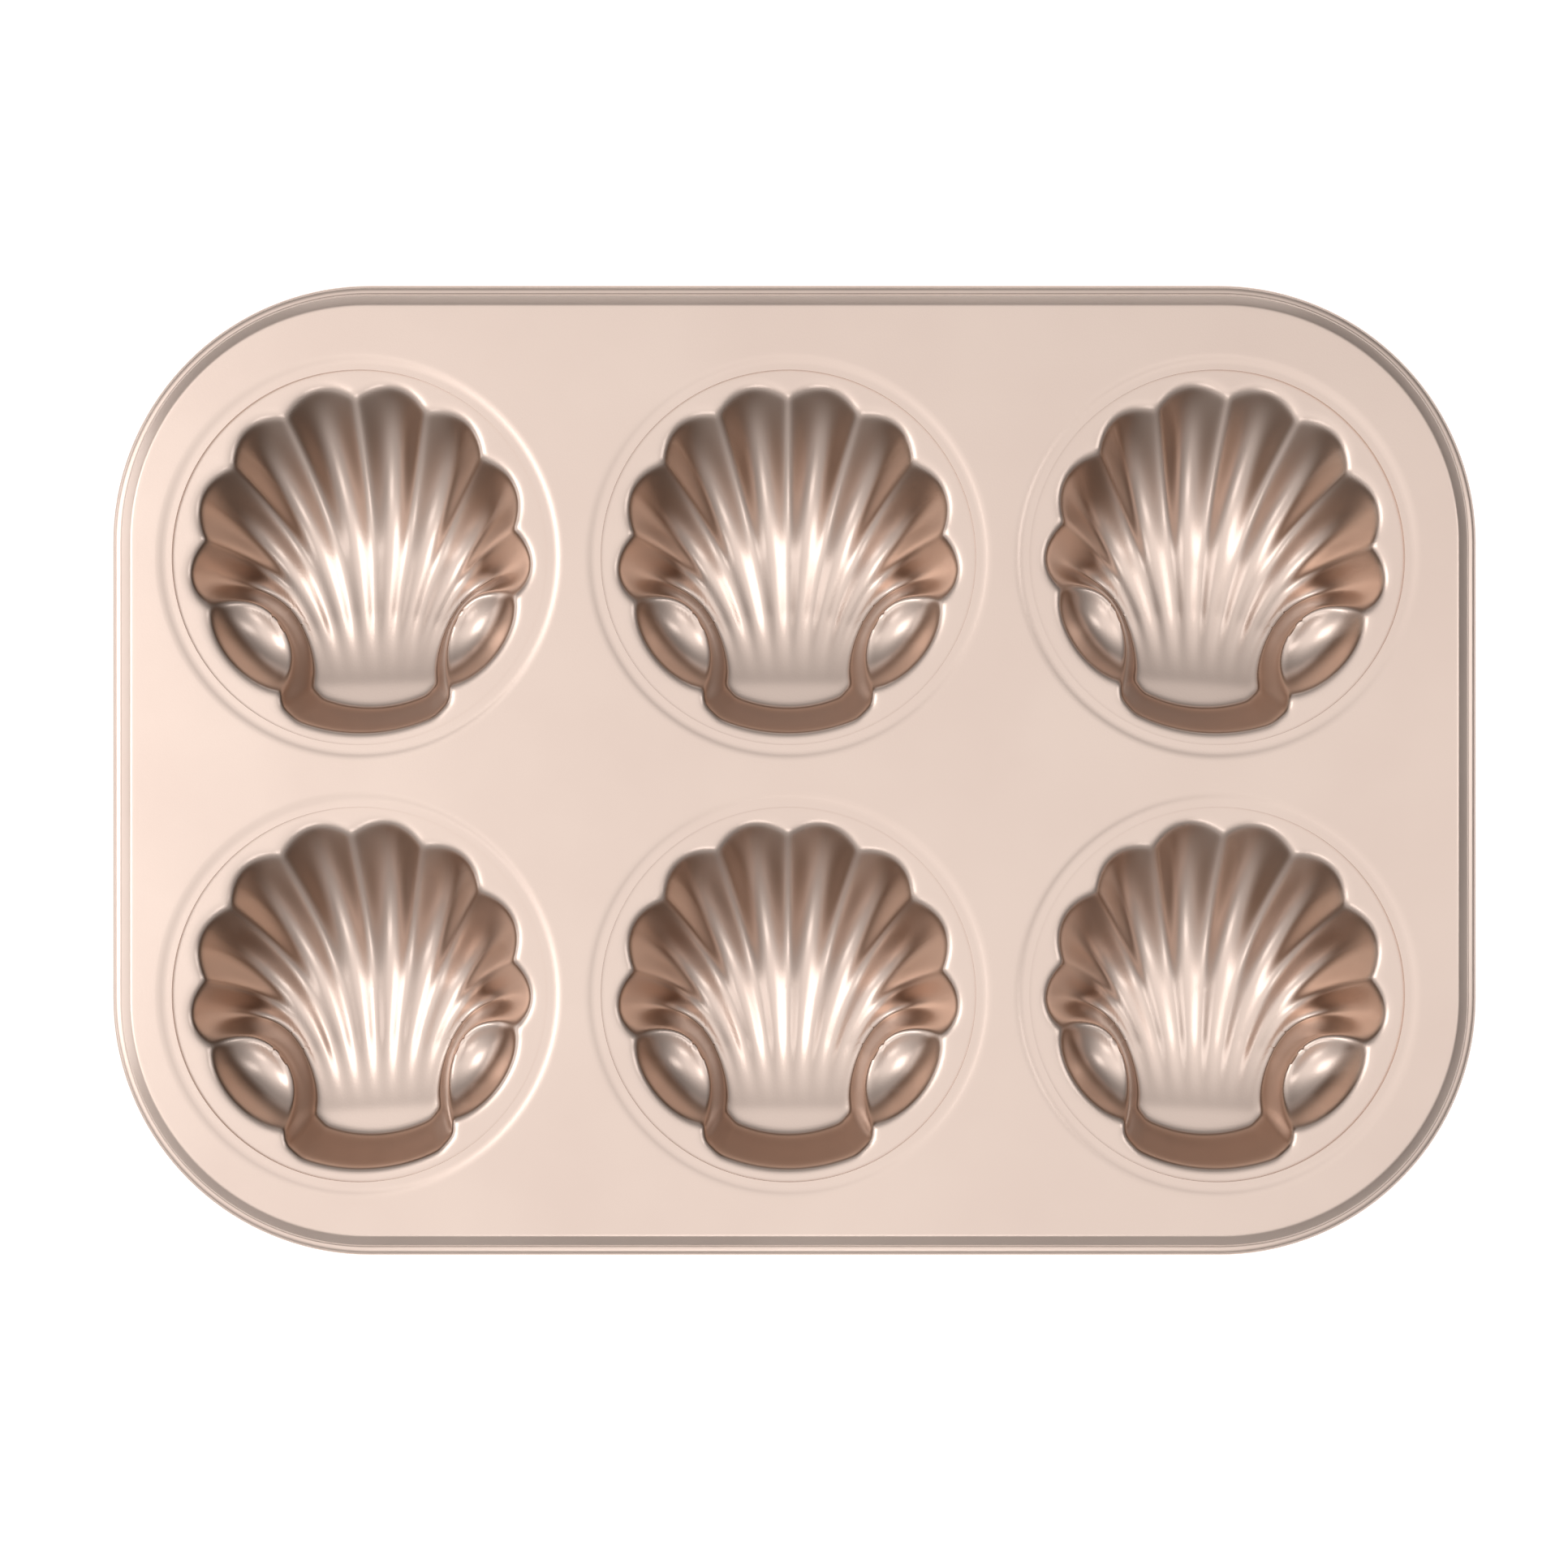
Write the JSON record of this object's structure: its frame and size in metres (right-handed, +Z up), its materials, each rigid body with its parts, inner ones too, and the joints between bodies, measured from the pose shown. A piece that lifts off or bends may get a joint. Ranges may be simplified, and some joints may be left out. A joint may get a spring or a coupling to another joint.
{
  "type": "madeleine pan",
  "caption": "Flat oblong baking pan with round-cornered rolled rim and shell-shaped cups seated in round collars.",
  "frame": {"origin": "on the surface that the pan stands on, under the middle of the rim", "axes": "+X along the pan's long side, +Y towards the shells' tips, +Z up, out of the cups"},
  "size_m": [0.265, 0.1884, 0.0188],
  "materials": {
    "coating": "semi-gloss champagne metallic non-stick coating",
    "steel_wire": "bare drawn wire"
  },
  "bodies": {
    "root": {"deck": "coating", "shell_cup_back_left": "coating", "shell_cup_back_middle": "coating", "shell_cup_back_right": "coating", "shell_cup_front_left": "coating", "shell_cup_front_middle": "coating", "shell_cup_front_right": "coating", "rim_wire": "steel_wire"}
  },
  "joints": []
}
